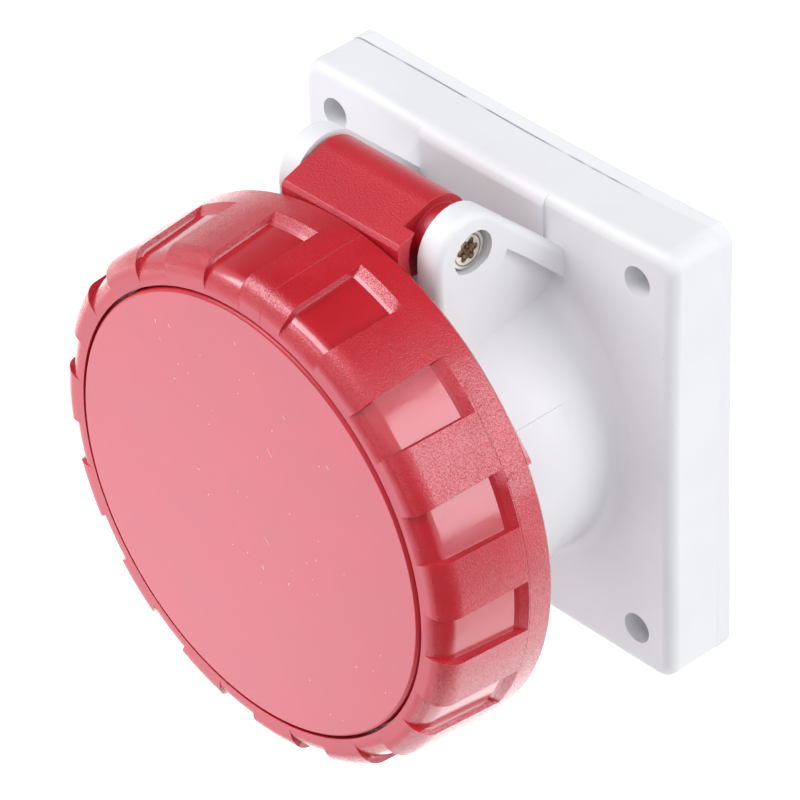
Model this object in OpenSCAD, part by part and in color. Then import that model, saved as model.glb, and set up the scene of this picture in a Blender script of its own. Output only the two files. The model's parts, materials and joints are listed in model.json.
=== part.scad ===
// Industrial panel socket, five poles, with a hinged lid and a bayonet locking ring.
// Every piece is drawn facing the viewer: x to the right, y up, z out of the panel.
// as_mounted() then stands it up, so that the socket looks along -Y and the panel plane is y = 0.

/* [Flange] */
// Width of the flange
flange_w = 86; // [83:1:92]
// Height of the flange
flange_h = 85.4; // [83:0.2:90]
// How far the flange's middle lies below the middle of its fixing holes
flange_drop = 0.3; // [0:0.1:0.6]
// Thickness of the flange
flange_t = 11; // [9:0.5:13]
// Radius of the flange's four corners
flange_corner_r = 3.5; // [3:0.5:6]
// Rounding along the flange's front edges
flange_edge_r = 2.2; // [1:0.2:2.8]
// Distance between fixing holes, across and up
hole_pitch = 70; // [68:0.5:71]
// Diameter of the fixing holes
hole_d = 5.6; // [4.5:0.1:6.2]
// Outer diameter of the pillar that is left round each fixing hole
pillar_d = 11; // [10:0.5:13]
// Thickness of the flange's front and side walls
flange_wall = 3.5; // [3:0.25:4.5]
// Thickness of the gasket behind the flange
gasket_t = 3; // [2:0.5:4]
// Height of the raised pad between the hinge ears
pad_t = 0.5; // [0.25:0.25:2]

/* [Socket tube] */
// How far the socket's axis lies below the middle of the flange
axis_drop = 0.9; // [0:0.1:2]
// Outer diameter of the tube
tube_d = 62; // [61:0.5:64]
// Length of tube that shows between the flange and the locking ring
tube_l = 31.4; // [29:0.2:34]
// Fillet where the tube meets the flange
root_r = 3; // [1.5:0.5:4]
// Diameter of the mouth in front of the contact carrier
mouth_d = 58; // [57.8:0.1:58.6]
// Diameter of the shroud's bore beside the contact carrier
shroud_d = 57.2; // [56.5:0.1:57.4]
// Depth of the shroud, from its rim to the stop rib
shroud_depth = 41.7; // [40:0.5:43]
// Thickness of the stop rib
stop_t = 3; // [2:0.5:4]
// Diameter of the opening in the stop rib
stop_d = 53; // [52:0.5:54]
// Outer diameter of the collar behind the rim
collar_d = 68; // [67:0.5:70]
// Length of the collar
collar_l = 12.7; // [11:0.1:13.5]
// Width of the keyway at the bottom of the shroud
key_w = 8; // [6:0.5:10]
// Depth of the keyway
key_depth = 2.25; // [1.5:0.25:3]
// Outer diameter of the sleeve that passes through the panel
sleeve_d = 72; // [71:0.5:73]
// Length of the sleeve behind the panel's face
sleeve_l = 3; // [2:0.5:5]
// Bore of the sleeve
sleeve_bore_d = 59; // [58.6:0.1:60]

/* [Bayonet] */
// Height of the bayonet cams above the collar
cam_h = 7; // [6:0.25:7.2]
// Length of a cam along the socket's axis
cam_l = 5; // [4:0.5:5.5]
// Angle that a cam spans
cam_span = 40; // [30:1:44]
// Angle from the top to the middle of the right-hand cam
cam_place = 95; // [92:1:98]
// Angle that the ring turns from open to locked
lock_turn = 40; // [35:1:44]
// Angle that a lug in the ring spans
lug_span = 28; // [24:1:32]
// Length of a lug along the socket's axis
lug_l = 3.2; // [2.5:0.1:4]
// Clearance between a locked lug and its cam
lug_gap = 0.4; // [0.3:0.1:0.8]

/* [Locking ring] */
// Outer diameter of the ring at its back edge
ring_d = 94.9; // [94:0.2:97]
// Depth of the ring from back to front
ring_l = 21.9; // [21:0.2:24]
// Radius that the grip face loses towards the front
ring_draft = 1.05; // [0.6:0.05:1.2]
// Rounding of the shoulder round the front
shoulder_r = 4; // [3:0.25:4.5]
// Thickness of the ring's front wall
ring_wall = 2.6; // [2:0.1:3]
// Number of grip recesses round the ring
grip_count = 15; // [12:1:18]
// Share of the way round that is recessed
grip_share = 0.5; // [0.4:0.05:0.6]
// Depth of a grip recess
grip_depth = 1.3; // [0.8:0.1:1.5]
// Width of the plain band behind the recesses
band_w = 5.2; // [4:0.2:6]
// Slope at the back of a recess, measured along the ring
grip_run = 2; // [1:0.25:3]
// Turn of the recess nearest the top, clockwise
grip_turn = -4.25; // [-12:0.25:12]
// Length of the pointer tab on the ring's back edge
pointer_l = 11.5; // [8:0.5:14]
// Height of the pointer tab
pointer_h = 0.9; // [0.6:0.1:1.4]
// Angle from the top to the pointer tab, clockwise
pointer_turn = 57; // [50:1:70]

/* [Lid] */
// Diameter of the flat disc that shows inside the ring
disc_d = 79.9; // [79:0.1:80.4]
// Gap round the disc
disc_gap = 0.4; // [0.3:0.05:0.6]
// Width of the hidden edge that holds the ring on
lid_edge = 2.85; // [2.6:0.05:3]
// Thickness of the lid from its front face to its back edge
lid_t = 4.7; // [4.3:0.1:5.2]
// Thickness of the disc in the middle of the lid
disc_t = 3; // [2.4:0.1:3.4]
// Depth of the seal's groove
seal_groove = 1.6; // [1:0.1:1.6]
// Thickness of the lid's seal
seal_t = 2.2; // [1.9:0.1:2.6]
// Inner diameter of the lid's seal
seal_in_d = 58.6; // [58.2:0.1:60]
// Width of the lid's seal
seal_w = 5.8; // [4.8:0.1:6.4]
// Thickness of the arm that joins the lid to its hinge block
arm_t = 3; // [2.4:0.1:3.4]
// Running clearance between lid and ring
run_gap = 0.3; // [0.2:0.05:0.4]

/* [Hinge] */
// Distance of the hinge axis from the flange's front face
hinge_out = 20.3; // [19.5:0.1:22]
// Height of the hinge axis above the middle of the flange
hinge_up = 42.9; // [42.3:0.1:44]
// Distance between the inner faces of the two ears
ear_gap = 28.4; // [27:0.2:30]
// Thickness of an ear
ear_t = 4.6; // [4.2:0.1:5.5]
// Radius of an ear's round head
ear_r = 7.4; // [7:0.1:8]
// Rounding round an ear's outer face
ear_edge_r = 1.4; // [0.8:0.1:1.8]
// Height on the flange where the ears' top ribs end
ear_root_up = 33.5; // [31:0.5:36]
// Width of the rib along an ear's top edge
ear_rib = 4; // [3:0.25:5]
// Play between the hinge block and each ear
block_play = 0.7; // [0.3:0.1:1]
// Radius of the hinge block's barrel
barrel_r = 6.7; // [6.4:0.1:7]
// Height of the block's front edge above the hinge axis
block_rise = 3.45; // [2.5:0.05:4]
// Diameter of the hinge screw
hinge_screw_d = 5; // [4:0.25:5.5]
// Running clearance of the hinge screw, on its radius
screw_fit = 0.05; // [0.02:0.01:0.09]
// Diameter of the hinge screw's head
head_d = 6.7; // [6.4:0.1:7]
// Diameter across the lobes of the hinge screw's socket
socket_d = 4.4; // [3.6:0.1:4.6]
// How far the hinge screw's head lies below the ear's face
head_depth = 1; // [0.5:0.1:1.4]
// Diameter of the recess that holds the screw's head
counterbore_d = 7.4; // [7.2:0.1:8]
// Thickness of ear that is left behind the screw's head
head_seat = 1.5; // [1.2:0.1:2]
// Diameter of the hinge spring's wire
spring_wire = 1; // [0.8:0.1:1.2]
// Number of turns in the hinge spring
spring_turns = 6; // [4:1:7]

/* [Contacts] */
// Diameter of the circle that the contacts lie on
contact_circle_d = 35; // [34:0.5:36]
// Diameter of a phase or neutral pin
pin_d = 5; // [4.6:0.1:5.2]
// Diameter of the earth pin
earth_pin_d = 7; // [6.6:0.1:7.2]
// Wall of a contact's sleeve
sleeve_wall = 1; // [0.8:0.1:1.1]
// Thickness of the clip round a contact's sleeve
clip_t = 0.7; // [0.5:0.1:0.9]
// Length of a contact's sleeve
contact_sleeve_l = 24; // [20:1:26]
// Width of the slits that divide a sleeve into fingers
slit_w = 0.9; // [0.6:0.1:1.2]
// Length of a contact's terminal barrel
terminal_l = 15; // [14:0.25:15.25]
// Diameter of the hole for the wire in a terminal barrel
wire_d = 5; // [4:0.25:5.4]
// Diameter of a terminal screw
terminal_screw_d = 3.5; // [3:0.25:4]
// Diameter of the carrier that holds the contacts
carrier_d = 48.5; // [48:0.1:48.8]
// Distance of the carrier's face behind the rim
carrier_recess = 9; // [8:0.5:10]
// Thickness of the carrier's flange
carrier_flange_t = 4.8; // [4:0.2:6]
// Thickness of the carrier's seal
carrier_seal_t = 1.2; // [0.8:0.1:1.6]
// Distance that the terminal block reaches into the sleeve, in front of the panel's face
block_reach = 3.5; // [2.5:0.25:4]
// Depth that the terminal block reaches behind the panel's face
block_tail = 13.5; // [13:0.5:16]
// Diameter of the terminal block
block_d = 54.6; // [54:0.2:56]
// Thickness of the terminal block's flange
block_flange_t = 2.5; // [2:0.25:3]
// Diameter of the screws that hold the terminal block
block_screw_d = 3; // [2.5:0.25:3.2]

/* [Hidden] */

$fn = 96;
cut = 0.5;                // how far a cutter passes the face that it cuts
fit = 0.05;               // clearance of a fixed piece in its seat, on the radius
mouth_gap = 0.3;          // from the carrier's face to the mouth's step
slot_w = 0.8;             // width of a screw's slot
block_screw_grip = 8;     // depth that the block's screws reach into the sleeve
centre_screw_d = 4;
centre_head_sink = 3;     // depth of the centre screw's head in the block
centre_grip = 14;         // depth that the centre screw reaches into the carrier
arc_steps = 8;            // straight steps in a quarter of a rounded profile

// Distances in front of the panel's face
flange_back = gasket_t;
flange_front = flange_back + flange_t;
ring_back = flange_front + tube_l;
ring_front = ring_back + ring_l;
ring_pocket = ring_front - ring_wall;
lid_shelf = ring_pocket - run_gap;
lid_back = ring_front - lid_t;
seal_front = lid_back + seal_groove;
seal_back = seal_front - seal_t;
rim = seal_back - run_gap;
collar_back = rim - collar_l;
carrier_front = rim - carrier_recess;
stop_front = rim - shroud_depth;
stop_back = stop_front - stop_t;
carrier_shoulder = stop_back - carrier_seal_t;
carrier_step = carrier_shoulder - carrier_flange_t;
hinge_z = flange_front + hinge_out;
block_front = ring_back - run_gap;

// Radii of the lid, the ring and the bayonet
disc_r = disc_d / 2;
lid_edge_r = disc_r + disc_gap + lid_edge;
bore_front_r = lid_edge_r + disc_gap;
bore_back_r = bore_front_r + ring_draft;
nib_r = lid_edge_r - 2 * run_gap;
nib_l = 1.5;
nib_span = 18;
nib_count = 6;
grip_side = 0.3;
arm_r = nib_r - 2 * run_gap;
lug_r = collar_d / 2 + cam_h / 2;
cam_r = collar_d / 2 + cam_h;
cam_back = collar_back + 2;
lug_front = cam_back - lug_gap;
lug_home = cam_place - lock_turn - 5;

// Hinge block and ears
block_w = ear_gap - 2 * block_play;
ear_out = ear_gap / 2 + ear_t;
barrel_step_w = 2.6;
barrel_step_r = 8.4;
barrel_hub_r = 5.2;
screw_r = hinge_screw_d / 2;
spring_r = screw_r + spring_wire / 2 + 0.5;
spring_pocket_r = spring_r + spring_wire / 2 + 0.4;
spring_l = spring_wire * (spring_turns + 1);

// Contacts, clockwise from the earth contact at the bottom
earth_at = 180;
contact_step = 360 / 5;
contact_r = contact_circle_d / 2;
contact_front = carrier_front - 4;
clip_l = 3;
clip_setback = 3;
wire_entry_r = wire_d / 2 + 0.25;
block_front_face = block_reach;
terminal_screw_l = 5;
terminal_screw_z = block_front_face - terminal_l + 3.2;

function point(r, a) = [r * cos(a), r * sin(a)];
function arc(centre, r, from, to) =
    [for (i = [0 : arc_steps]) centre + point(r, from + (to - from) * i / arc_steps)];

module as_mounted() { rotate([90, 0, 0]) children(); }

// On the socket's axis, z measured from the panel's face
module on_axis() { translate([0, -axis_drop, 0]) children(); }

// Turned clockwise from the top, as seen from the front
module clock(turn) { rotate(-turn) children(); }

module at_hole() {
    for (x = [-1, 1], y = [-1, 1]) translate([x, y] * hole_pitch / 2) children();
}

// A disc with its upper edge rounded
module rounded_puck(r, t, edge_r) {
    rotate_extrude($fn = 32)
        polygon(concat([[0, 0], [r, 0]], arc([r - edge_r, t - edge_r], edge_r, 0, 90), [[0, t]]));
}

// The flange's outline, drawn in by a margin all round
module flange_outline(margin, corner_r) {
    w = flange_w - 2 * margin;
    h = flange_h - 2 * margin;
    translate([0, -flange_drop]) {
        square([w, h - 2 * corner_r], center = true);
        square([w - 2 * corner_r, h], center = true);
        for (x = [w / 2 - corner_r, corner_r - w / 2], y = [h / 2 - corner_r, corner_r - h / 2])
            translate([x, y]) circle(corner_r);
    }
}

// A sector of a ring: radii, heights, and the angle that it spans about its own middle
module sector(r_in, r_out, low, high, span) {
    rotate(90 - span / 2) rotate_extrude(angle = span)
        translate([r_in, low]) square([r_out - r_in, high - low]);
}

// ---------------------------------------------------------------- housing

module flange_plate() {
    across = flange_w / 2 - flange_corner_r;
    up = flange_h / 2 - flange_corner_r;
    translate([0, -flange_drop, flange_back])
        hull() for (x = [-across, across], y = [-up, up])
            translate([x, y]) rounded_puck(flange_corner_r, flange_t, flange_edge_r);
}

// The hollows behind the flange's corners, with a pillar round each fixing hole
module flange_hollows() {
    rib_w = 2;
    translate([0, 0, flange_back - cut])
        linear_extrude(flange_t - flange_wall + cut)
            difference() {
                flange_outline(flange_wall, flange_corner_r - 2);
                circle(flange_w / 2 - 1);
                at_hole() circle(d = pillar_d);
                for (a = [45, 135]) rotate(a) square([2 * flange_w, rib_w], center = true);
            }
}

module tube_solid() {
    tube_r = tube_d / 2;
    collar_r = collar_d / 2;
    flare = collar_r - tube_r;
    rotate_extrude()
        polygon(concat(
            [[0, -sleeve_l], [sleeve_d / 2 - 0.8, -sleeve_l], [sleeve_d / 2, 0.8 - sleeve_l],
             [sleeve_d / 2, flange_back + 1], [tube_r + root_r, flange_back + 1]],
            arc([tube_r + root_r, flange_front + root_r], root_r, 270, 180),
            [[tube_r, collar_back - flare], [collar_r, collar_back], [collar_r, rim - 0.6],
             [collar_r - 0.6, rim], [0, rim]]));
}

// The keyway stands out from the bottom of the tube as a rib
module keyway_rib() {
    wall = 2;
    w = key_w + 2 * wall;
    depth = shroud_d / 2 + key_depth + wall;
    translate([-w / 2, -depth, flange_front - 1])
        cube([w, depth, collar_back - flange_front + 1]);
}

// One ear, in the plane of its side: x towards the viewer, y up, z outwards
module ear_plate() {
    foot_r = 3;
    foot_up = tube_d / 2 - axis_drop - 8;
    hull() {
        translate([hinge_z, hinge_up]) rounded_puck(ear_r, ear_t, ear_edge_r);
        translate([hinge_z + ear_r - foot_r, foot_up]) rounded_puck(foot_r, ear_t, ear_edge_r);
        translate([flange_front - 1, foot_up]) rounded_puck(foot_r, ear_t, ear_edge_r);
        translate([flange_front - 1, ear_root_up - 5]) rounded_puck(foot_r, ear_t, ear_edge_r);
    }
}

// What is taken off an ear's outer face, below its rib and behind its head
module ear_web_cut() {
    slope = 7;
    web_start = hinge_z + 1.7;
    rise = hinge_up - ear_root_up;
    lean = atan2(rise, hinge_out) + asin(ear_r / norm([rise, hinge_out]));
    tall = 2 * ear_t;
    difference() {
        translate([web_start, 0, ear_t]) rotate([0, -slope, 0]) translate([-hinge_z, 0, 0])
            cube([hinge_z, hinge_up, tall]);
        translate([hinge_z, hinge_up, -cut]) cylinder(r = ear_r + 0.8, h = tall + 2);
        translate([flange_front, ear_root_up - ear_rib / cos(lean), -cut]) rotate(lean)
            translate([-hinge_out, 0, 0]) cube([3 * hinge_out, hinge_up, tall + 2]);
    }
}

module ear() {
    difference() {
        ear_plate();
        ear_web_cut();
    }
}

module both_ears() {
    for (side = [0, 1]) mirror([side, 0, 0])
        translate([-ear_gap / 2, 0, 0]) rotate([0, -90, 0]) ear();
}

// A pad on the flange between the ears, which rounds over to the flange's top edge
module pad() {
    low = ear_root_up - 6;
    top = flange_h / 2 - flange_drop;
    front = flange_front + pad_t;
    edge_r = flange_edge_r + pad_t;
    translate([ear_gap / 2 + 0.1, 0, 0]) rotate([0, -90, 0])
        linear_extrude(ear_gap + 0.2)
            polygon(concat([[flange_front - 2, top - edge_r], [flange_front - 2, low], [front, low]],
                           arc([front - edge_r, top - edge_r - 0.02], edge_r, 0, 90)));
}

// Two cams on the collar, which the ring's lugs turn behind
module cams() {
    for (turn = [cam_place, cam_place + 180]) clock(turn)
        sector(collar_d / 2 - 1, cam_r, cam_back, cam_back + cam_l, cam_span);
}

module bores() {
    translate([0, 0, carrier_front + mouth_gap]) cylinder(d = mouth_d, h = carrier_recess);
    translate([0, 0, stop_front]) cylinder(d = shroud_d, h = shroud_depth);
    translate([0, 0, stop_back - cut]) cylinder(d = stop_d, h = stop_t + 2 * cut);
    translate([0, 0, -sleeve_l - cut]) cylinder(d = sleeve_bore_d, h = stop_back + sleeve_l + cut);
    translate([-key_w / 2, -shroud_d / 2 - key_depth, stop_front])
        cube([key_w, shroud_d / 2, shroud_depth + cut]);
}

module block_screw_places() {
    for (turn = [60, 180, 300]) clock(turn)
        translate([0, (sleeve_d + sleeve_bore_d) / 4, 0]) children();
}

module housing() {
    color("whitesmoke") as_mounted() difference() {
        union() {
            flange_plate();
            pad();
            both_ears();
            on_axis() {
                tube_solid();
                keyway_rib();
                cams();
            }
        }
        flange_hollows();
        at_hole() translate([0, 0, -cut]) cylinder(d = hole_d, h = flange_front + 2 * cut);
        on_axis() {
            bores();
            block_screw_places() translate([0, 0, -sleeve_l - cut])
                cylinder(d = block_screw_d + 2 * fit, h = block_screw_grip + 2 + cut);
        }
        hinge_axis() {
            translate([0, 0, -ear_out + 1.2]) cylinder(r = screw_r + screw_fit, h = 2 * ear_out);
            translate([0, 0, ear_gap / 2 + head_seat]) head_recess();
            spring_leg_hole();
        }
    }
}

// The recess for the hinge screw's head is a little long, up and towards the panel
module head_recess() {
    hull() for (shift = [[0, 0], [0.7, 0.4]])
        translate(shift) cylinder(d = counterbore_d, h = ear_t, $fn = 32);
}

// On the hinge axis, z towards the right-hand ear
module hinge_axis() { translate([0, hinge_up, hinge_z]) rotate([0, 90, 0]) children(); }

module spring_leg_hole() {
    translate([0, spring_r, -ear_gap / 2 - 2.5]) cylinder(d = spring_wire + 0.4, h = 3);
}

module flange_gasket() {
    color("white") as_mounted() linear_extrude(gasket_t) difference() {
        flange_outline(0, flange_corner_r);
        translate([0, -axis_drop]) circle(d = sleeve_d + 0.8);
        at_hole() circle(d = hole_d);
    }
}

// ---------------------------------------------------------------- contacts

// clockwise from the earth contact
module at_contact(i) {
    on_axis() clock(earth_at + i * contact_step) translate([0, contact_r, 0]) children();
}

function pin_of(i) = i == 0 ? earth_pin_d : pin_d;
function sleeve_r(i) = pin_of(i) / 2 + sleeve_wall;
function shank_r(i) = sleeve_r(i) + clip_t + 0.2;
function barrel_of(i) = shank_r(i) + 0.45;

module contact(i) {
    inner_r = pin_of(i) / 2 + fit;
    r = sleeve_r(i);
    shank_front = contact_front - contact_sleeve_l;
    barrel_front = block_front_face;
    color("goldenrod") as_mounted() at_contact(i) difference() {
        union() {
            translate([0, 0, shank_front]) cylinder(r = r, h = contact_sleeve_l);
            translate([0, 0, barrel_front - 1])
                cylinder(r = shank_r(i), h = shank_front - barrel_front + 1);
            translate([0, 0, barrel_front - terminal_l]) cylinder(r = barrel_of(i), h = terminal_l);
        }
        translate([0, 0, shank_front + 1]) cylinder(r = inner_r, h = contact_sleeve_l);
        for (a = [0, 90]) rotate(a)
            translate([-slit_w / 2, -r - cut, shank_front + 5])
                cube([slit_w, 2 * (r + cut), contact_sleeve_l]);
        translate([0, 0, barrel_front - terminal_l - cut]) cylinder(d = wire_d, h = terminal_l - 1 + cut);
        translate([0, 0, terminal_screw_z]) rotate([-90, 0, 0])
            cylinder(r = terminal_screw_d / 2 + fit, h = barrel_of(i) + cut);
    }
}

// A split spring clip that closes the sleeve's fingers
module clip(i) {
    color("silver") as_mounted() at_contact(i)
        translate([0, 0, contact_front - clip_setback - clip_l]) difference() {
            cylinder(r = sleeve_r(i) + clip_t, h = clip_l);
            translate([0, 0, -cut]) cylinder(r = sleeve_r(i) + fit, h = clip_l + 2 * cut);
            rotate(45) translate([0, -slit_w, -cut]) cube([10, 2 * slit_w, clip_l + 2 * cut]);
        }
}

module contact_carrier() {
    edge = 0.8;
    color("dimgray") as_mounted() difference() {
        on_axis() rotate_extrude() polygon([
            [0, block_front_face], [block_d / 2, block_front_face], [block_d / 2, carrier_step],
            [sleeve_bore_d / 2 - 0.1, carrier_step], [sleeve_bore_d / 2 - 0.1, carrier_shoulder],
            [carrier_d / 2, carrier_shoulder], [carrier_d / 2, carrier_front - edge],
            [carrier_d / 2 - edge, carrier_front], [0, carrier_front]]);
        for (i = [0 : 4]) at_contact(i) {
            translate([0, 0, contact_front - cut])
                cylinder(d = pin_of(i) + 0.5, h = carrier_front - contact_front + 2 * cut);
            translate([0, 0, block_front_face - cut])
                cylinder(r = shank_r(i) + fit, h = contact_front - block_front_face + 0.3 + cut);
        }
        on_axis() translate([0, 0, block_front_face - cut])
            cylinder(d = centre_screw_d + 2 * fit, h = centre_grip + 2 + cut);
    }
}

module carrier_seal() {
    color("black") as_mounted() on_axis() translate([0, 0, carrier_shoulder]) difference() {
        cylinder(d = sleeve_bore_d - 0.6, h = carrier_seal_t);
        translate([0, 0, -cut]) cylinder(d = stop_d + 0.8, h = carrier_seal_t + 2 * cut);
    }
}

module terminal_block() {
    chamber_l = terminal_l + 0.2;
    color("dimgray") as_mounted() difference() {
        on_axis() rotate_extrude() polygon([
            [0, -block_tail], [block_d / 2 - 1, -block_tail], [block_d / 2, 1 - block_tail],
            [block_d / 2, -sleeve_l - block_flange_t], [sleeve_d / 2 - 0.2, -sleeve_l - block_flange_t],
            [sleeve_d / 2 - 0.2, -sleeve_l], [block_d / 2, -sleeve_l],
            [block_d / 2, block_front_face], [0, block_front_face]]);
        for (i = [0 : 4]) at_contact(i) {
            translate([0, 0, block_front_face - chamber_l])
                cylinder(r = barrel_of(i) + fit, h = chamber_l + cut);
            translate([0, 0, -block_tail - cut]) cylinder(r = wire_entry_r, h = block_tail);
            translate([0, 0, terminal_screw_z]) rotate([-90, 0, 0])
                cylinder(r = terminal_screw_d / 2 + 0.3, h = block_d / 2);
        }
        on_axis() {
            translate([0, 0, -block_tail - cut])
                cylinder(d = centre_screw_d + 0.4, h = block_tail + block_reach + 2 * cut);
            translate([0, 0, -block_tail - cut]) cylinder(r = 4, h = centre_head_sink + cut);
            block_screw_places() translate([0, 0, -sleeve_l - block_flange_t - cut])
                cylinder(d = block_screw_d + 0.3, h = block_flange_t + 2 * cut);
        }
    }
}

// A cheese-head screw along z, its head's underside at z = 0 and its slot facing away
module cheese_head_screw(d, l, r_head, h_head) {
    difference() {
        union() {
            cylinder(d = d, h = l);
            translate([0, 0, -h_head]) cylinder(r = r_head, h = h_head);
        }
        translate([-r_head - cut, -slot_w / 2, -h_head - cut])
            cube([2 * (r_head + cut), slot_w, h_head / 2 + cut]);
    }
}

module block_screws() {
    color("silver") as_mounted() on_axis() block_screw_places()
        translate([0, 0, -sleeve_l - block_flange_t])
            cheese_head_screw(block_screw_d, block_flange_t + block_screw_grip, 2.6, 2);
}

module centre_screw() {
    color("silver") as_mounted() on_axis() translate([0, 0, centre_head_sink - block_tail])
        cheese_head_screw(centre_screw_d, block_tail + block_reach + centre_grip - centre_head_sink,
                          3.6, 2.4);
}

// Headless screws, set into the side of each terminal
module terminal_screws() {
    for (i = [0 : 4])
        color("silver") as_mounted() at_contact(i)
            translate([0, wire_d / 2 - 0.5, terminal_screw_z]) rotate([-90, 0, 0])
            difference() {
                cylinder(d = terminal_screw_d, h = terminal_screw_l);
                translate([-terminal_screw_d, -slot_w / 2, terminal_screw_l - 1])
                    cube([2 * terminal_screw_d, slot_w, 2]);
            }
}

// ---------------------------------------------------------------- lid

// The block's side: x towards the ring, y up, the hinge axis at the middle
module block_profile() {
    reach = block_front - hinge_z;
    low = arm_r - arm_t - axis_drop - hinge_up;
    bevel = 0.6;
    circle(barrel_r);
    polygon([point(barrel_r - 0.1, 71.5), [reach - bevel, block_rise + bevel / 3],
             [reach, block_rise - bevel], [reach, low], point(barrel_r - 0.1, -82)]);
}

module hinge_block() {
    difference() {
        translate([0, hinge_up, hinge_z]) rotate([0, -90, 0])
            linear_extrude(block_w, center = true) block_profile();
        hinge_axis() {
            translate([0, 0, -block_w]) cylinder(r = screw_r + screw_fit, h = 2 * block_w);
            translate([0, 0, block_w / 2 - barrel_step_w]) difference() {
                cylinder(r = barrel_step_r, h = barrel_step_w + cut);
                translate([0, 0, -cut]) cylinder(r = barrel_hub_r, h = barrel_step_w + 3 * cut);
            }
            translate([0, 0, -block_w / 2 - cut])
                cylinder(r = spring_pocket_r, h = spring_l + block_play + cut);
            translate([0, spring_r, -block_w / 2]) cylinder(d = spring_wire + 0.4, h = spring_l + 3);
        }
    }
}

// The arm passes between the collar and the ring
module lid_arm() {
    w = block_w;
    intersection() {
        rotate_extrude() translate([arm_r - arm_t, block_front - 3])
            square([arm_t, lid_back - block_front + 4]);
        translate([-w / 2, 0, 0]) cube([w, arm_r + 1, ring_front]);
    }
}

module lid() {
    groove_in = seal_in_d / 2 - 0.1;
    groove_out = seal_in_d / 2 + seal_w + 0.1;
    hollow_r = groove_in - 1.6;
    edge = 0.5;
    color("firebrick") as_mounted() {
        union() {
            on_axis() rotate_extrude() polygon([
                [0, ring_front - disc_t], [hollow_r, ring_front - disc_t], [hollow_r, lid_back],
                [groove_in, lid_back], [groove_in, seal_front], [groove_out, seal_front],
                [groove_out, lid_back], [lid_edge_r, lid_back], [lid_edge_r, lid_shelf],
                [disc_r, lid_shelf], [disc_r, ring_front - edge], [disc_r - edge, ring_front],
                [0, ring_front]]);
            on_axis() lid_arm();
            hinge_block();
        }
    }
}

module lid_seal() {
    color("black") as_mounted() on_axis() translate([0, 0, seal_back]) difference() {
        cylinder(r = seal_in_d / 2 + seal_w, h = seal_t);
        translate([0, 0, -cut]) cylinder(d = seal_in_d, h = seal_t + 2 * cut);
    }
}

// ---------------------------------------------------------------- locking ring

// Half a section through the ring's outside, from its back to its front
function ring_outline() =
    let (r = ring_d / 2, shoulder = r - ring_draft - shoulder_r, edge = 0.6)
    concat([[0, ring_back], [r - edge, ring_back], [r, ring_back + edge], [r, ring_back + band_w]],
           arc([shoulder, ring_front - shoulder_r], shoulder_r, 0, 90),
           [[0, ring_front]]);

// The same outside sunk by the depth of a grip, closed by a loop that runs well outside the ring
function grip_outline() =
    let (r = ring_d / 2, shoulder = r - ring_draft - shoulder_r - grip_depth,
         mid = ring_back + band_w + 0.15, clear = 3)
    concat([[r + grip_depth, mid - grip_run], [r - grip_depth, mid + grip_run]],
           arc([shoulder, ring_front - shoulder_r], shoulder_r, 0, 90),
           [[shoulder + clear, ring_front + clear], [r + clear, ring_front + clear],
            [r + clear, mid - grip_run]]);

// Wedges where the grips are recessed, a little narrower at the bottom than at the top
module grip_wedges() {
    half = 180 / grip_count * grip_share;
    mouth = ring_d / 2 * [sin(half), cos(half)];
    top = mouth + 4 * [grip_side, 1];
    foot = mouth - 2 * grip_depth * [grip_side, 1];
    low = disc_r - 2;
    for (i = [0 : grip_count - 1]) clock(grip_turn + i * 360 / grip_count)
        translate([0, 0, ring_back + band_w - 2 * grip_run]) linear_extrude(ring_l)
            polygon([[-foot[0], low], [-foot[0], foot[1]], [-top[0], top[1]],
                     [top[0], top[1]], [foot[0], foot[1]], [foot[0], low]]);
}

module grips() {
    intersection() {
        grip_wedges();
        rotate_extrude() polygon(grip_outline());
    }
}

module ring_bore() {
    nib_front = lid_back - run_gap;
    rotate_extrude() polygon([
        [0, ring_back - cut], [bore_back_r, ring_back - cut], [bore_back_r, ring_back],
        [bore_front_r, nib_front - nib_l - 1], [bore_front_r, ring_pocket],
        [disc_r + disc_gap, ring_pocket],
        [disc_r + disc_gap, ring_front + cut], [0, ring_front + cut]]);
}

module ring_nibs() {
    nib_front = lid_back - run_gap;
    for (i = [0 : nib_count - 1]) clock(i * 360 / nib_count)
        sector(nib_r, bore_front_r + 0.4, nib_front - nib_l, nib_front, nib_span);
}

module ring_lugs() {
    for (turn = [lug_home, lug_home + 180]) clock(turn)
        sector(lug_r, bore_back_r + 0.3, lug_front - lug_l, lug_front, lug_span);
}

module pointer() {
    inset = 1;
    wall = ring_d / 2 - bore_back_r;
    clock(pointer_turn) translate([0, ring_d / 2 - inset, ring_back]) rotate([90, 0, 0])
        linear_extrude(wall - inset - 0.2)
            polygon([[-pointer_l / 2, 0.2], [-pointer_l / 2, -0.05], [pointer_l / 2 - 0.8, -pointer_h],
                     [pointer_l / 2, 0.1 - pointer_h], [pointer_l / 2, 0.2]]);
}

module locking_ring() {
    color("crimson") as_mounted() on_axis() {
        difference() {
            rotate_extrude() polygon(ring_outline());
            grips();
            ring_bore();
        }
        ring_nibs();
        ring_lugs();
        pointer();
    }
}

// ---------------------------------------------------------------- hinge

// Six lobes round a core
module lobed_socket() {
    lobe_r = 0.6;
    reach = socket_d / 2 - lobe_r;
    circle(reach);
    for (i = [0 : 5]) rotate(60 * i) translate([reach, 0]) circle(lobe_r, $fn = 24);
}

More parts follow.
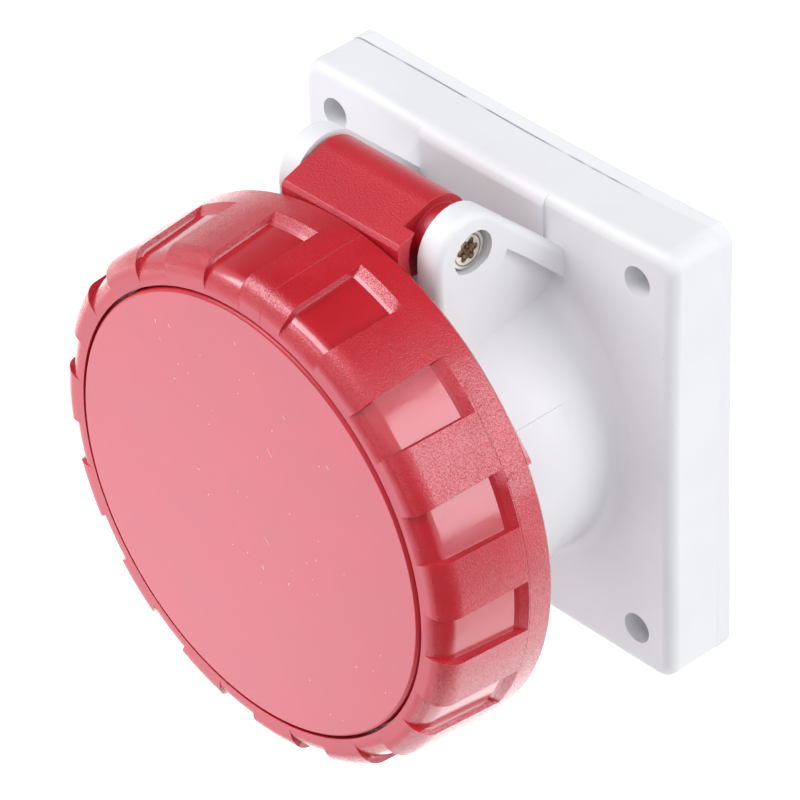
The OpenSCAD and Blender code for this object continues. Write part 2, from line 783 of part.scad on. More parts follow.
module hinge_screw() {
    head_l = ear_t - head_seat - head_depth;
    head_face = ear_gap / 2 + head_seat + head_l;
    tip = 1.6;
    color("silver") as_mounted() hinge_axis() difference() {
        union() {
            translate([0, 0, -ear_out + tip])
                cylinder(r = screw_r, h = ear_out - tip + ear_gap / 2 + head_seat + 1);
            translate([0, 0, ear_gap / 2 + head_seat]) cylinder(d = head_d, h = head_l);
        }
        translate([0, 0, head_face - head_l + 0.2]) linear_extrude(head_l) lobed_socket();
    }
}

// A helix of round wire about z, its first turn at the bottom, starting and ending at the same side
module coil(r, wire, turns, pitch) {
    steps = 16;
    sides = 8;
    count = turns * steps;
    points = [for (i = [0 : count], s = [0 : sides - 1])
        let (c = point(r, 90 + 360 * i / steps), p = point(wire / 2, 360 * s / sides))
            [c[0] * (1 + p[0] / r), c[1] * (1 + p[0] / r), pitch * i / steps + p[1]]];
    walls = [for (i = [0 : count - 1], s = [0 : sides - 1])
        let (a = i * sides, b = a + sides, n = (s + 1) % sides)
            [a + s, a + n, b + n, b + s]];
    polyhedron(points, concat([[for (s = [sides - 1 : -1 : 0]) s]], walls,
                              [[for (s = [0 : sides - 1]) count * sides + s]]));
}

module hinge_spring() {
    pitch = 1.08 * spring_wire;
    back = -block_w / 2 + spring_wire / 2;
    leg = 2;
    color("silver") as_mounted() hinge_axis() {
        translate([0, 0, back]) coil(spring_r, spring_wire, spring_turns, pitch);
        translate([0, spring_r, -ear_gap / 2 - leg])
            cylinder(d = spring_wire, h = leg + block_play + spring_wire / 2);
        translate([0, spring_r, back + spring_turns * pitch]) cylinder(d = spring_wire, h = leg + 1);
    }
}

module contact_l1() { contact(1); }
module contact_l2() { contact(2); }
module contact_l3() { contact(3); }
module contact_n() { contact(4); }
module contact_e() { contact(0); }
module clip_l1() { clip(1); }
module clip_l2() { clip(2); }
module clip_l3() { clip(3); }
module clip_n() { clip(4); }
module clip_e() { clip(0); }

housing();
flange_gasket();
contact_carrier();
carrier_seal();
terminal_block();
contact_l1();
contact_l2();
contact_l3();
contact_n();
contact_e();
clip_l1();
clip_l2();
clip_l3();
clip_n();
clip_e();
terminal_screws();
block_screws();
centre_screw();
lid();
lid_seal();
locking_ring();
hinge_screw();
hinge_spring();
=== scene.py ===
# %% [markdown]
# # An industrial panel socket, dressed for rendering
#
# The CAD model gives every solid of the socket at its real size: a pale housing with a square
# flange, a red lid on a hinge, a red locking ring, and the brass contacts inside. This script
# gives each of them the finish of the real thing. It never moves a solid. Where a moulded edge
# has to look soft, it shows a bevelled copy of the solid, and the solid itself stays hidden.

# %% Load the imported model
import json
import math
import random

import bmesh
import bpy
from mathutils import Euler, Matrix, Vector


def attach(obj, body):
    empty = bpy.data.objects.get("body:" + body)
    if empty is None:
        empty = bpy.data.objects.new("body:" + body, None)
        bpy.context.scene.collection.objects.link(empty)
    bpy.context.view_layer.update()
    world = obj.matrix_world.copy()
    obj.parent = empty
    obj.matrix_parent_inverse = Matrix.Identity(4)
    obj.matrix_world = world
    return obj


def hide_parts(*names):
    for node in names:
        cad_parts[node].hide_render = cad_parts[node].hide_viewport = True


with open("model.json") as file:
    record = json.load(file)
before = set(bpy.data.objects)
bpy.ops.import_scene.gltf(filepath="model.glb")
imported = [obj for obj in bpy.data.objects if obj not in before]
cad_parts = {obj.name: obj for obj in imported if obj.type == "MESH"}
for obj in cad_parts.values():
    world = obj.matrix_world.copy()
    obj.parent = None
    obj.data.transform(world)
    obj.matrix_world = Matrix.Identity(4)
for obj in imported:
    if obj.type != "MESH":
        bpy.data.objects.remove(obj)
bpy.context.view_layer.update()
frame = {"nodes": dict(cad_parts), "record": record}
MM = 0.001
AXIS_DROP = 0.9 * MM  # how far the tube's axis lies below the middle of the fixing holes
random.seed(11)

# %% [markdown]
# ## The camera
#
# A product picture like this is taken with a long lens from the right and above, so parallel
# edges stay almost parallel. The camera is given the way a photographer would say it: where it
# looks, how far away it stands, how far round and how high up it is, and how much it is tilted.

# %% Camera
AIM = Vector((-1.305, -32.289, 2.878)) * MM
DISTANCE = 789.8 * MM
AROUND = math.radians(47.80)
ABOVE = math.radians(36.33)
TILT = math.radians(-2.02)
LENS, FILM = 217.1, 36.0  # the focal length and the width of the film, in millimetres


def add_camera():
    data = bpy.data.cameras.new("camera")
    data.lens = LENS
    data.sensor_width = FILM
    camera = bpy.data.objects.new("camera", data)
    bpy.context.scene.collection.objects.link(camera)
    turn = Euler((math.pi / 2 - ABOVE, 0.0, AROUND)).to_matrix()
    turn = turn @ Matrix.Rotation(TILT, 3, "Z")
    stand = AIM + turn @ Vector((0, 0, DISTANCE))
    camera.matrix_world = Matrix.Translation(stand) @ turn.to_4x4()
    bpy.context.scene.camera = camera
    return camera


camera = add_camera()
print("camera stands at", [round(v, 3) for v in camera.matrix_world.translation])

# %% [markdown]
# ## Shader maths as plain expressions
#
# A procedural finish is a small formula over a point on the surface. Written out as nodes and
# links, a formula is hard to read, so this class wraps one socket and lets Python's own
# operators add the Math nodes. `Finish.node` adds every other kind of node.

# %% A wrapped socket and a finish
class Wire:
    """One output socket, with the operators that a finish uses."""

    def __init__(self, finish, socket):
        self.finish = finish
        self.socket = socket

    def maths(self, operation, other=None, swap=False):
        values = [self, other] if not swap else [other, self]
        return self.finish.node("ShaderNodeMath", {"operation": operation},
                                {i: v for i, v in enumerate(values) if v is not None})

    def __add__(self, other):
        return self.maths("ADD", other)

    def __mul__(self, other):
        return self.maths("MULTIPLY", other)

    def __sub__(self, other):
        return self.maths("SUBTRACT", other)

    def __rsub__(self, other):
        return self.maths("SUBTRACT", other, swap=True)

    def __pow__(self, other):
        return self.maths("POWER", other)

    def __abs__(self):
        return self.maths("ABSOLUTE")

    __radd__ = __add__
    __rmul__ = __mul__


class Finish:
    """A node material with one Principled shader."""

    def __init__(self, name, colour, roughness, **sockets):
        self.material = bpy.data.materials.new(name)
        self.material.use_nodes = True
        self.tree = self.material.node_tree
        self.shader = next(n for n in self.tree.nodes if n.type == "BSDF_PRINCIPLED")
        self.set(**{"Base Color": (*colour, 1.0), "Roughness": roughness}, **sockets)

    def set(self, **values):
        for name, value in values.items():
            self.put(self.shader.inputs[name], value)

    def put(self, socket, value):
        if isinstance(value, Wire):
            self.tree.links.new(value.socket, socket)
        else:
            socket.default_value = value

    def node(self, kind, settings=None, inputs=None, output=0):
        """Any node: its type, its settings, and the values or links of its sockets."""
        made = self.tree.nodes.new(kind)
        for name, value in (settings or {}).items():
            setattr(made, name, value)
        for name, value in (inputs or {}).items():
            self.put(made.inputs[name], value)
        return Wire(self, made.outputs[output])

    def place(self):
        """The point on the surface, in metres in the socket's own frame."""
        return self.node("ShaderNodeTexCoord", output="Object")

    def noise(self, size, detail=2.0):
        """Soft noise whose features are about `size` metres across."""
        return self.node("ShaderNodeTexNoise", None,
                         {"Vector": self.place(), "Scale": 1.0 / size, "Detail": detail,
                          "Roughness": 0.55})

    def range(self, value, low, high, out_low=0.0, out_high=1.0, smooth=True):
        """Carries the stretch from `low` to `high` over to another stretch, held at its ends."""
        kind = "SMOOTHSTEP" if smooth else "LINEAR"
        return self.node("ShaderNodeMapRange", {"interpolation_type": kind},
                         {"Value": value, "From Min": low, "From Max": high,
                          "To Min": out_low, "To Max": out_high})

    def fade(self, value, full, none):
        """1 where the value is under `full`, 0 where it is over `none`."""
        return self.range(value, full, none, 1.0, 0.0)

    def mix(self, factor, first, second):
        """One colour into another; colours go through Mix, never through Math."""
        made = self.tree.nodes.new("ShaderNodeMix")
        made.data_type = "RGBA"
        inlets = {socket.name: socket for socket in made.inputs if socket.type == "RGBA"}
        self.put(made.inputs["Factor"], factor)
        for socket, value in ((inlets["A"], first), (inlets["B"], second)):
            self.put(socket, value if isinstance(value, Wire) else (*value[:3], 1.0))
        return Wire(self, next(socket for socket in made.outputs if socket.type == "RGBA"))

    def drift(self, waves, first, second):
        """A colour that drifts between two shades along slow waves."""
        return self.mix(self.range(waves, 0.3, 0.7), first, second)

    def parts(self):
        """The point's x, y and z, each as a number."""
        split = self.tree.nodes.new("ShaderNodeSeparateXYZ")
        self.put(split.inputs[0], self.place())
        return [Wire(self, output) for output in split.outputs]

    def round_axis(self):
        """Distance from the socket's axis, and degrees clockwise from its top."""
        x, _, z = self.parts()
        up = z + AXIS_DROP
        return (x * x + up * up) ** 0.5, x.maths("ARCTAN2", up) * math.degrees(1)

    def mark(self, start, end, width, fade):
        """1 on the straight mark between two points given in mm, 0 away from it."""
        start, end = Vector(start) * MM, Vector(end) * MM
        along = end - start
        offset = self.node("ShaderNodeVectorMath", {"operation": "SUBTRACT"},
                           {0: self.place(), 1: start})
        share = self.node("ShaderNodeVectorMath", {"operation": "DOT_PRODUCT"},
                          {0: offset, 1: along / along.length_squared}, output="Value")
        share = share.maths("MAXIMUM", 0.0).maths("MINIMUM", 1.0)
        nearest = self.node("ShaderNodeVectorMath", {"operation": "SCALE"},
                            {0: along, "Scale": share})
        gap = self.node("ShaderNodeVectorMath", {"operation": "DISTANCE"},
                        {0: offset, 1: nearest}, output="Value")
        return self.fade(gap, width / 2 * MM, (width / 2 + fade) * MM)

    def grain(self):
        """The coarse and the fine grain of a spark-eroded mould, and its glossy specks."""
        coarse, fine = self.noise(0.32 * MM), self.noise(0.16 * MM)
        return coarse, fine, self.range(self.noise(0.28 * MM), 0.4, 0.6)

    def bump(self, height):
        """Raises the surface by a height in millimetres."""
        self.set(Normal=self.node("ShaderNodeBump", None, {"Height": height, "Distance": MM}))


def srgb(red, green, blue):
    """A colour as a screen shows it, turned into the linear values that shaders use."""
    return tuple(((v / 255 + 0.055) / 1.055) ** 2.4 if v > 10 else v / 255 / 12.92
                 for v in (red, green, blue))


# %% [markdown]
# ## The finishes
#
# Moulded plastic is never one flat colour. The tool that shaped it was spark-eroded, which
# leaves a fine grain, and the melt leaves slow waves that only show in reflections.

# %% Red lid and ring
RED = srgb(192, 33, 44)
COOL = (1.0, 0.84, 1.0, 1.0)  # the tint of what the red plastic reflects
BLOCK_FOOT = 38 * MM          # the height at which the hinge block's grain begins
PARTING = -1.4 * MM           # where the mould's parting line crosses the block
GATE = ((0.7, -66, -1.6), (0.7, -60, -1.6))  # the dimple where the melt entered, on the disc
RIPPLE = 3.1 * MM             # the pitch of the faint rings on the disc
RING_FRONT = -67.25 * MM      # the ring's front edge, along the axis
LAND_FRONT, LAND_BACK = -63.3 * MM, -50.6 * MM  # a land's ends, between shoulder and band
LAND_SLIM, LAND_WIDE = 46.4 * MM, 47.45 * MM    # a land's radius at those ends
SHOULDER = 4 * MM             # the radius of the rounding in front of a land
STEP_TURN, STEP_RADIUS = 49.0, 46.6 * MM  # past these, a land ends in a small step
MOULD_LINES = (1.2, 7.9)      # degrees round the ring


def red_lid():
    """Smooth on the disc, and grained on the hinge block and its arm."""
    finish = Finish("red_lid", RED, 0.34,
                    **{"IOR": 1.6, "Specular Tint": COOL, "Coat Roughness": 0.22})
    x, _, z = finish.parts()
    block = finish.range(z, BLOCK_FOOT, BLOCK_FOOT + MM)
    parting = finish.fade(abs(x - PARTING), 0.03 * MM, 0.12 * MM)
    away, _ = finish.round_axis()
    waves = finish.noise(14 * MM)
    coarse, fine, specks = finish.grain()
    ripples = (away * (2 * math.pi / RIPPLE)).maths("SINE")
    gate = finish.mark(*GATE, 0.5, 0.3)
    finish.set(**{"Base Color": finish.drift(waves, srgb(188, 32, 43), srgb(196, 35, 46)),
                  "Roughness": 0.3 + waves * 0.04 + block * 0.04,
                  "Coat Weight": block * specks * 0.4})
    finish.bump(waves * 0.02 + ripples * 0.0003 + gate * 0.02
                + (coarse * 0.08 + fine * 0.02 + parting * 0.05) * block + fine * 0.001)
    return finish.material


def red_ring():
    """Smooth in the recesses, and grained on the lands and the band behind them."""
    finish = Finish("red_ring", RED, 0.4, **{"IOR": 1.65, "Specular Tint": COOL,
                                             "Coat IOR": 1.7, "Coat Roughness": 0.16})
    _, y, _ = finish.parts()
    away, turn = finish.round_axis()
    outside = finish.range(y, LAND_FRONT, LAND_BACK, LAND_SLIM, LAND_WIDE, smooth=False)
    ahead = (LAND_FRONT - y).maths("MAXIMUM", 0.0)
    across = (away - outside + SHOULDER).maths("MAXIMUM", 0.0)
    depth = SHOULDER - (ahead * ahead + across * across) ** 0.5
    floor = finish.range(depth, 0.7 * MM, 0.9 * MM)
    face = finish.fade(y, RING_FRONT, RING_FRONT + 0.35 * MM)
    waves = finish.noise(11 * MM)
    patches = finish.range(finish.noise(7 * MM), 0.35, 0.65)
    coarse, fine, specks = finish.grain()
    rough = 1.0 - floor * 0.9
    flank = rough * (1.0 - face)
    step = (finish.fade(abs(y - LAND_BACK), 0.06 * MM, 0.16 * MM)
            * finish.range(turn, STEP_TURN, STEP_TURN + 1.0)
            * finish.range(away, STEP_RADIUS, STEP_RADIUS + 0.3 * MM))
    lines = sum(finish.fade(abs(turn - angle), 0.04, 0.16) for angle in MOULD_LINES)
    finish.set(**{"Base Color": finish.drift(waves, srgb(186, 31, 41), srgb(194, 34, 45)),
                  "Roughness": 0.19 + rough * 0.05 + face * 0.2,
                  "Coat Weight": (0.8 - rough * 0.75 + rough * specks * 0.6) * (1.0 - face)})
    finish.bump(waves * 0.02 + coarse * flank * (patches * 0.04 + 0.06) + fine * flank * 0.02
                + lines * rough * 0.05 - step * 0.12)
    return finish.material


# %% [markdown]
# ## The pale moulding
#
# The housing carries a few traces that a clean model would miss: a scuff on the flange, where
# something scraped along it, and the edge of a slightly raised panel on the tube. Along the
# flange's top, the shade in the gap between flange and gasket is painted into the colour.

# %% Pale housing
PALE = srgb(231, 231, 234)
SHADED_GAP = -3.15 * MM  # how far in front of the panel the gap between flange and gasket lies; its shade is painted
# Each mark has a start, an end, a width and a fade, all in millimetres, and a strength.
SCUFF = (((39.9, -14, 22.8), (41.1, -14, 23.0), 0.15, 0.1, 0.45),
         ((41.4, -14, 22.6), (42.0, -13.9, 20.9), 0.12, 0.1, 0.4),
         ((42.0, -13.9, 20.6), (42.05, -13.9, 19.4), 0.2, 0.1, 0.6),
         ((41.8, -13.9, 16.4), (42.3, -13.8, 11.4), 0.15, 0.35, 0.3),
         ((42.3, -13.8, 11.4), (43.0, -13.0, 7.3), 0.3, 0.5, 0.28),
         ((-1.4, -9.1, 42.4), (-1.2, -11.2, 42.4), 0.1, 0.12, 0.35),
         ((43, -0.7, -37.9), (43, -0.9, -37.9), 0.25, 0.12, 0.6))


def pale_plastic():
    """Satin, with the scuff, the panel's edge, and painted shade in the gap along the flange's
    top.
    """
    finish = Finish("pale_plastic", PALE, 0.42)
    waves = finish.noise(18 * MM)
    breaks = finish.range(finish.noise(0.7 * MM), 0.38, 0.6)
    dirt = sum(finish.mark(start, end, width, fade) * (breaks * strength)
               for start, end, width, fade, strength in SCUFF)
    x, y, z = finish.parts()
    # Painted shade: the gap between flange and gasket, darkened in broken stretches along the
    # flange's top.
    gap_shade = (finish.fade(abs(y - SHADED_GAP), 0.1 * MM, 0.3 * MM)
            * finish.range(z, 39 * MM, 40 * MM) * finish.fade(x, 20 * MM, 30 * MM)
            * finish.range(finish.noise(9 * MM), 0.36, 0.52))
    away, turn = finish.round_axis()
    panel = (finish.range(turn, 63.9, 64.3) * finish.fade(turn, 118.0, 122.0)
             * finish.fade(y, -24.5 * MM, -23.0 * MM) * finish.fade(away, 31.3 * MM, 31.5 * MM))
    clean = finish.drift(waves, srgb(229, 229, 232), srgb(233, 233, 236))
    # The scuff is real dirt; the gap's painted shade is mixed in with the same grey.
    finish.set(**{"Base Color": finish.mix(dirt + gap_shade * 0.75, clean, srgb(120, 118, 118))})
    finish.bump(waves * 0.02 + finish.noise(0.3 * MM) * 0.003 + panel * 0.12 - dirt * 0.02)
    return finish.material


def gasket_foam():
    """Matt, and a little uneven."""
    finish = Finish("gasket_foam", srgb(234, 234, 237), 0.8)
    finish.bump(finish.noise(0.5 * MM, 3.0) * 0.03 + finish.noise(9 * MM) * 0.25)
    return finish.material


# %% Rubber, the dark insert and metal
HINGE_AHEAD, HINGE_UP = 34.3 * MM, 42.9 * MM  # the hinge axis, from the panel and the middle
GREASE_EDGE = 17.3 * MM    # how far right the old grease in the screw's socket reaches
SOCKET_RADIUS = 2.25 * MM
RING_SHADE_RADIUS = 2.75 * MM  # of the thin ring of painted shade round that socket


def black_rubber():
    finish = Finish("black_rubber", srgb(36, 36, 38), 0.62)
    finish.bump(finish.noise(0.4 * MM, 3.0) * 0.01)
    return finish.material


def grey_insert():
    finish = Finish("grey_insert", srgb(88, 90, 93), 0.5)
    finish.bump(finish.noise(0.4 * MM, 3.0) * 0.008)
    return finish.material


def metal(name, colour, roughness):
    """Bare metal whose gloss varies with handling marks."""
    finish = Finish(name, colour, roughness, Metallic=1.0)
    marks = finish.noise(0.6 * MM, 3.0)
    finish.set(Roughness=finish.range(marks, 0.3, 0.7, roughness * 0.75, roughness * 1.3))
    return finish.material


def screw_steel():
    """Bright on the head's rim, with old grease in the socket of the head and a thin ring of
    painted shade round the socket.
    """
    finish = Finish("screw_steel", srgb(206, 202, 196), 0.18, Metallic=1.0)
    x, y, z = finish.parts()
    forward, up = y + HINGE_AHEAD, z - HINGE_UP
    away = (forward * forward + up * up) ** 0.5
    inside = (finish.fade(x, GREASE_EDGE, GREASE_EDGE + 0.3 * MM)
              * finish.fade(away, SOCKET_RADIUS, SOCKET_RADIUS + 0.1 * MM))
    # Painted shade: a thin dark ring round the socket, standing in for the shadow in a groove.
    ring_shade = finish.fade(abs(away - RING_SHADE_RADIUS), 0.08 * MM, 0.18 * MM)
    blotches = finish.range(finish.noise(0.7 * MM, 3.0), 0.35, 0.65)
    grease = finish.mix(blotches, srgb(98, 76, 56), srgb(216, 192, 162))
    # The steel's colour, darkened by the painted shade ring.
    steel = finish.mix(ring_shade * 0.8, srgb(206, 200, 192), srgb(96, 76, 60))
    shine = finish.range(finish.noise(0.5 * MM, 3.0), 0.3, 0.7, 0.14, 0.26)
    finish.set(**{"Base Color": finish.mix(inside, steel, grease),
                  "Metallic": 1.0 - inside * 0.8, "Roughness": shine})
    finish.bump(finish.noise(0.4 * MM) * 0.01)
    return finish.material


FINISHES = {
    "housing_grey": pale_plastic(),
    "cover_red": red_lid(),
    "gasket_white": gasket_foam(),
    "seal_black": black_rubber(),
    "insert_grey": grey_insert(),
    "contact_brass": metal("turned_brass", srgb(214, 178, 106), 0.28),
    "spring_steel": metal("spring_steel", srgb(178, 178, 180), 0.25),
    "plated_steel": metal("plated_steel", srgb(200, 194, 184), 0.22),
}
OWN_FINISH = {"locking_ring": red_ring(), "hinge_screw": screw_steel()}
SLOT_OF = {row["node"]: row["material_slot"] for row in frame["record"]["subparts"]}


def finish_of(node):
    return OWN_FINISH.get(node, FINISHES[SLOT_OF[node]])


for node in SLOT_OF:
    for place in frame["nodes"][node].material_slots:
        place.material = finish_of(node)
print("finishes:", len(FINISHES) + len(OWN_FINISH))

# %% [markdown]
# ## Soft edges
#
# No moulding has a knife edge: each corner of the tool has a small radius, and that radius is
# what catches the light. A copy of a solid is merged into one skin, its flat faces are joined,
# and the edges that turn sharply get a narrow bevel.

# %% A bevelled copy of a solid
BODY_OF = {node: body for body, nodes in frame["record"]["behaviour"]["bodies"].items()
           for node in nodes}
WELD = 0.002 * MM           # vertices closer than this are one
FLAT = math.radians(0.5)    # faces that turn less than this are one
CORNER = math.radians(25)   # an edge that turns more than this gets a bevel
CREASE = math.radians(40)   # an edge that turns more than this after it stays sharp


def linked(name, mesh, material):
    """Makes an object of a mesh being edited, with one material."""
    data = bpy.data.meshes.new(name)
    mesh.to_mesh(data)
    mesh.free()
    data.materials.append(material)
    piece = bpy.data.objects.new(name, data)
    bpy.context.scene.collection.objects.link(piece)
    return piece


def softened(node, width, shape=None):
    """Shows a copy of a node with bevels of a width; `shape` may bend its mesh."""
    mesh = bmesh.new()
    mesh.from_mesh(frame["nodes"][node].data)
    bmesh.ops.remove_doubles(mesh, verts=mesh.verts, dist=WELD)
    bmesh.ops.dissolve_limit(mesh, angle_limit=FLAT, verts=mesh.verts, edges=mesh.edges)
    corners = [edge for edge in mesh.edges
               if len(edge.link_faces) == 2 and edge.calc_face_angle(0.0) > CORNER]
    bmesh.ops.bevel(mesh, geom=corners, offset=width, affect="EDGES", segments=2,
                    profile=0.5, material=-1, clamp_overlap=True, loop_slide=True)
    if shape:
        shape(mesh)
    for face in mesh.faces:
        face.smooth = True
    piece = linked("soft_" + node, mesh, finish_of(node))
    piece.data.set_sharp_from_angle(angle=CREASE)
    weighted = piece.modifiers.new("weighted", "WEIGHTED_NORMAL")
    weighted.weight = 90
    weighted.keep_sharp = True
    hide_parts(node)
    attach(piece, BODY_OF[node])
    print(piece.name, "faces:", len(piece.data.polygons))


# %% [markdown]
# ## Shrinkage
#
# A moulding shrinks as it cools, and its long edges bow inwards between the corners. The tables
# say by how many millimetres, at places along the top edge and the right edge.

# %% Bowed edges, and the four soft copies
EDGE_BAND = 39.0            # past this many millimetres from the middle, an edge is drawn in
SLICES = range(-36, 41, 6)  # millimetres: where long flat faces are cut, so that they can bend
HOUSING_TOP = ((-40, -0.2), (-26, -0.1), (-14, 0.2), (-1, 0.5), (16, 0.6), (31, 0.45), (38, 0.0))
HOUSING_RIGHT = ((-30, 0.0), (-10, 0.25), (10, 0.35), (25, 0.3), (35, 0.1))
GASKET_TOP = ((-39, -0.4), (-30, 0.1), (-24, 0.3), (-10, 0.5), (4, 0.8), (18, 0.85),
              (31, 0.65), (38, 0.4))
GASKET_RIGHT = ((-33, 0.0), (-28, 0.05), (-16, 0.3), (-4, 0.7), (8, 0.55), (24, 0.7), (32, 0.6))
FRONT = min(corner.co.y for corner in frame["nodes"]["lid"].data.vertices)
PROUD = 0.3 * MM            # how far the disc stands out in front of the ring


def table(pairs, value):
    """Straight lines between (place, amount) pairs, held level past both ends."""
    if value <= pairs[0][0]:
        return pairs[0][1]
    for (x0, y0), (x1, y1) in zip(pairs, pairs[1:]):
        if value <= x1:
            return y0 + (y1 - y0) * (value - x0) / (x1 - x0)
    return pairs[-1][1]


def at_edge(value):
    """0 up to the edge band, and 1 from two millimetres further out."""
    share = min(max((value - EDGE_BAND) / 2, 0.0), 1.0)
    return share * share * (3 - 2 * share)


def sliced(mesh, normal):
    """Cuts all faces by a row of planes."""
    for place in SLICES:
        bmesh.ops.bisect_plane(mesh, geom=mesh.verts[:] + mesh.edges[:] + mesh.faces[:],
                               dist=0.001 * MM, plane_co=normal * (place * MM), plane_no=normal)


def bowed(top, right):
    """A shape that draws the top and right edges in by tables of millimetres."""
    def shape(mesh):
        sliced(mesh, Vector((1, 0, 0)))
        sliced(mesh, Vector((0, 0, 1)))
        for corner in mesh.verts:
            x, _, z = corner.co / MM
            corner.co.z -= table(top, x) * at_edge(z) * MM
            corner.co.x -= table(right, z) * at_edge(x) * MM
    return shape


def proud_disc(mesh):
    """The disc stands a little proud of the ring, which closes the gap on its far side."""
    for corner in mesh.verts:
        if corner.co.y < FRONT + 0.5 * MM:
            corner.co.y -= PROUD


softened("locking_ring", 0.18 * MM)
softened("lid", 0.2 * MM, proud_disc)
softened("housing", 0.25 * MM, bowed(HOUSING_TOP, HOUSING_RIGHT))
softened("flange_gasket", 0.3 * MM, bowed(GASKET_TOP, GASKET_RIGHT))

# %% [markdown]
# ## Lint
#
# Static draws short fibres on to the lid. Each is a bent thread a tenth of a millimetre
# thick that lies on the disc. The places are those of the object; the bends are random.

# %% Fibres on the disc
LINT_PLACES = (
    (-19.6, 27.3), (-15.9, 28.1), (-18.6, 24.5), (-8.9, 26.3), (-14.6, 21.6), (-12.1, 21.1),
    (-16.0, 18.2), (3.9, 29.1), (-0.2, 32.5), (0.4, 26.2), (-0.3, 23.2), (-10.3, 15.6),
    (-6.9, 16.4), (10.9, 24.0), (-7.9, 13.2), (7.4, 19.9), (3.7, 12.7), (-11.6, 2.5),
    (18.4, 18.6), (20.6, 19.3), (-9.2, -1.7), (-1.6, 3.1), (0.5, 3.1), (10.7, 5.3),
    (26.8, 13.5), (-3.8, -8.8), (-0.3, -8.8), (17.2, 3.4), (2.6, -13.2), (3.7, -9.9),
    (10.6, -6.3), (9.6, -9.9), (16.8, -0.9), (14.4, -2.6), (15.6, -5.3), (16.7, -7.7),
    (23.1, -0.1), (30.9, -12.1), (24.9, -17.7), (29.2, -16.2), (13.8, -27.1), (18.3, -31.6),
    (21.2, -31.3), (31.8, -19.2))
LONG_LINT = (((4.0, -2.6), (5.4, -3.9)), ((6.1, 15.9), (7.3, 14.4)))
LIFT = Vector((0, 0.012 * MM, 0))  # how far a thread's flat top stands off the disc


def thread(mesh, path, radius):
    """A flat three-sided tube along a path, with thin ends."""
    rows = []
    last = len(path) - 1
    for i, point in enumerate(path):
        ahead = path[min(i + 1, last)] - path[max(i - 1, 0)]
        side = ahead.cross(Vector((0, 1, 0))).normalized()
        side *= radius * (0.4 if i in (0, last) else 1.0)
        rows.append([mesh.verts.new(point + side - LIFT), mesh.verts.new(point - side - LIFT),
                     mesh.verts.new(point + 2 * LIFT)])
    for low, high in zip(rows, rows[1:]):
        for k in range(3):
            mesh.faces.new((low[k], low[(k + 1) % 3], high[(k + 1) % 3], high[k]))
    mesh.faces.new(rows[0][::-1])
    mesh.faces.new(rows[-1])


def lint_on_disc():
    """All fibres, as one piece that rides on the lid."""
    mesh = bmesh.new()
    for x, z in LINT_PLACES:
        heading = random.uniform(0, math.pi)
        bend = random.uniform(-1.6, 1.6)
        step = random.choice((0.05, 0.07, 0.1, 0.2)) * MM
        path = [Vector((x * MM, FRONT - PROUD, z * MM))]
        for _ in range(4):
            path.append(path[-1] + step * Vector((math.cos(heading), 0, math.sin(heading))))
            heading += bend / 4
        thread(mesh, path, random.uniform(0.04, 0.06) * MM)
    for (x0, z0), (x1, z1) in LONG_LINT:
        start, end = Vector((x0, 0, z0)) * MM, Vector((x1, 0, z1)) * MM
        path = [start.lerp(end, k / 5) + Vector((0, FRONT - PROUD, 0)) for k in range(6)]
        thread(mesh, path, 0.04 * MM)
    bmesh.ops.recalc_face_normals(mesh, faces=mesh.faces)
    piece = linked("lint", mesh, Finish("lint_fibre", srgb(250, 240, 241), 0.7).material)
    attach(piece, "lid")


lint_on_disc()
print("fibres:", len(LINT_PLACES) + len(LONG_LINT))

# %% [markdown]
# ## The studio
#
# The socket is shown as a catalogue shows it: on white, with light from all sides, so that
# shade gathers only in its hollows. A floor lies well below it. The room is dark in two
# directions: up behind the socket, and in front on the right, where the camera stands. The
# second shows only in what the socket mirrors.

# %% Floor, world and lamps
FLOOR_SIZE, FLOOR_DEPTH = 6.0, 0.45
DARK_BACK = (-0.30, 0.50, 0.81)
DARK_FRONT = (0.76, -0.65, -0.05)


def glowing(finish, strength):
    """White light of a strength, as a shader."""
    glow = finish.tree.nodes.new("ShaderNodeEmission")
    glow.inputs["Color"].default_value = (1, 1, 1, 1)
    finish.put(glow.inputs["Strength"], strength)
    return glow.outputs[0]


def white_stage():
    """A floor that is white to the camera. In what the socket mirrors, it glows, and the glow
    fades towards the camera."""
    bpy.ops.mesh.primitive_plane_add(size=FLOOR_SIZE, location=(0, 0, -FLOOR_DEPTH))
    floor = bpy.context.object
    floor.name = "floor"
    finish = Finish("white_floor", (0.86, 0.86, 0.86), 0.9)
    tree = finish.tree
    seen = finish.node("ShaderNodeLightPath", output="Is Camera Ray")
    mirrored = finish.node("ShaderNodeLightPath", output="Is Glossy Ray")
    x, y, _ = finish.parts()
    both = tree.nodes.new("ShaderNodeAddShader")
    tree.links.new(finish.shader.outputs[0], both.inputs[0])
    tree.links.new(glowing(finish, seen * 0.6), both.inputs[1])
    either = tree.nodes.new("ShaderNodeMixShader")
    finish.put(either.inputs[0], mirrored)
    tree.links.new(both.outputs[0], either.inputs[1])
    ahead = x * 0.66 - y * 0.75
    tree.links.new(glowing(finish, finish.range(ahead, 0.15, 0.5, 1.85, 0.1)), either.inputs[2])
    output = next(n for n in tree.nodes if n.type == "OUTPUT_MATERIAL")
    tree.links.new(either.outputs[0], output.inputs["Surface"])
    floor.data.materials.append(finish.material)


def joined(tree, operation, first, second):
    """One Math node, whose inputs are numbers or sockets."""
    made = tree.nodes.new("ShaderNodeMath")
    made.operation = operation
    for place, value in enumerate((first, second)):
        if isinstance(value, float):
            made.inputs[place].default_value = value
        else:
            tree.links.new(value, made.inputs[place])
    return made.outputs[0]


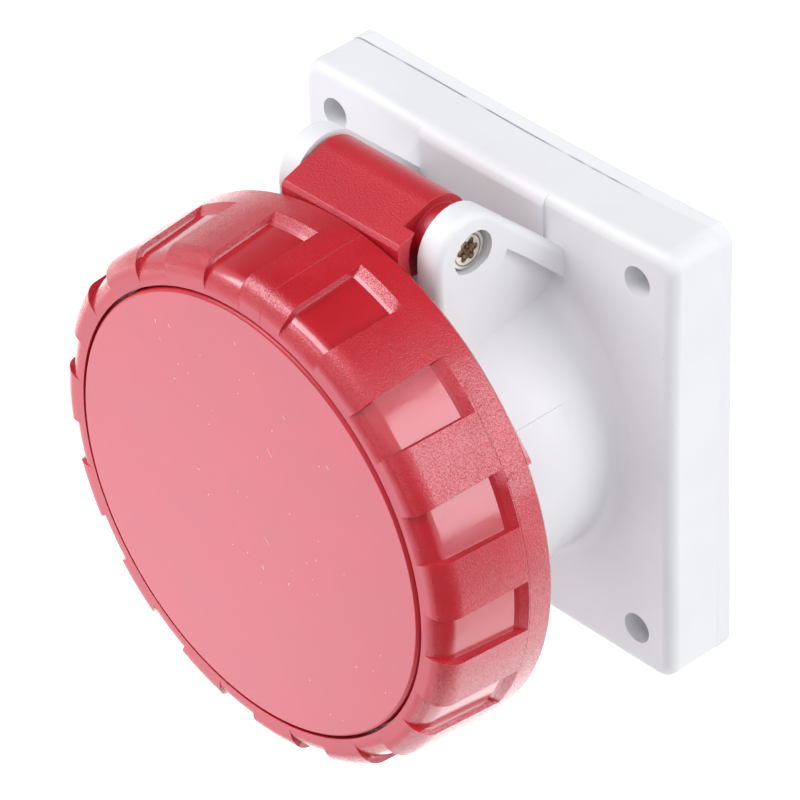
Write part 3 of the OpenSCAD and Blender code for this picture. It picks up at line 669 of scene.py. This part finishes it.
def white_world(level):
    """White to the camera. The light itself is `level`, and fades out up behind the socket. In
    what the socket mirrors, it fades out in front on the right too, where the camera stands."""
    world = bpy.data.worlds.new("white_room")
    world.use_nodes = True
    tree = world.node_tree
    background = next(n for n in tree.nodes if n.type == "BACKGROUND")
    background.inputs["Color"].default_value = (0.96, 0.975, 1, 1)
    towards = tree.nodes.new("ShaderNodeTexCoord")
    rays = tree.nodes.new("ShaderNodeLightPath")
    plain = joined(tree, "SUBTRACT", 1.0, rays.outputs["Is Glossy Ray"])
    light = level
    for direction, begins in ((DARK_BACK, 0.60), (DARK_FRONT, 0.75)):
        along = tree.nodes.new("ShaderNodeVectorMath")
        along.operation = "DOT_PRODUCT"
        along.inputs[1].default_value = direction
        tree.links.new(towards.outputs["Generated"], along.inputs[0])
        fade = tree.nodes.new("ShaderNodeMapRange")
        fade.interpolation_type = "SMOOTHSTEP"
        for name, value in (("From Min", begins), ("From Max", 0.97), ("To Min", 1.0),
                            ("To Max", 0.05)):
            fade.inputs[name].default_value = value
        tree.links.new(along.outputs["Value"], fade.inputs["Value"])
        least = plain if direction is DARK_FRONT else 0.0
        light = joined(tree, "MULTIPLY", light, joined(tree, "MAXIMUM", fade.outputs[0], least))
    light = joined(tree, "MAXIMUM", light, rays.outputs["Is Camera Ray"])
    tree.links.new(light, background.inputs["Strength"])
    bpy.context.scene.world = world


def softbox(name, place, width, height, watts, colour=(1, 1, 1)):
    """A lamp with a flat glowing front, which faces the socket."""
    data = bpy.data.lights.new(name, "AREA")
    data.shape = "RECTANGLE"
    data.size, data.size_y = width, height
    data.energy = watts
    data.color = colour
    lamp = bpy.data.objects.new(name, data)
    bpy.context.scene.collection.objects.link(lamp)
    turn = (Vector(place) - AIM).to_track_quat("Z", "Y")
    lamp.matrix_world = Matrix.Translation(place) @ turn.to_matrix().to_4x4()


white_stage()
white_world(0.84)
softbox("key_softbox", (-0.46, -0.52, 0.72), 0.5, 0.5, 3.6)
softbox("right_softbox", (0.80, 0.40, 0.38), 0.5, 0.9, 3.9)
softbox("top_softbox", (-0.05, -0.50, 1.0), 0.4, 0.4, 2.0)
softbox("low_card", (-0.22, -0.25, -0.21), 0.2, 0.2, 0.22, (1.0, 0.9, 1.0))
bpy.context.scene.view_settings.view_transform = "Standard"
